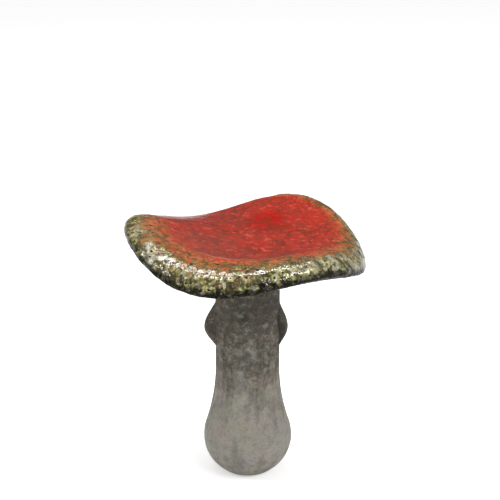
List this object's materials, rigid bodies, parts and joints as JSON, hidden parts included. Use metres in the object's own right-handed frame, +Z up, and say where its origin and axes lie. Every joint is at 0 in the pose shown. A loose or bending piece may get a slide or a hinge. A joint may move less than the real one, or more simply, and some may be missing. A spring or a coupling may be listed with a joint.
{
  "type": "mushroom ornament",
  "caption": "Free-standing ceramic toadstool ornament: a waved, dished red and olive glazed cap luted on a matte grey hollow stem with a pleated skirt.",
  "frame": {"origin": "centre of the flat sole under the stem, on the surface that the ornament stands on", "axes": "+Z up along the stem's axis to the cap; -Y towards the viewer of the picture, +X to the viewer's right"},
  "size_m": [0.1789, 0.1773, 0.2055],
  "materials": {
    "cap_top": "glossy",
    "cap_underside": "matte",
    "stem": "matte",
    "skirt": "matte",
    "neck_joint": "matte"
  },
  "bodies": {
    "root": {"cap_top": "cap_top", "cap_underside": "cap_underside", "stem": "stem", "skirt": "skirt", "neck_joint": "neck_joint"}
  },
  "joints": []
}
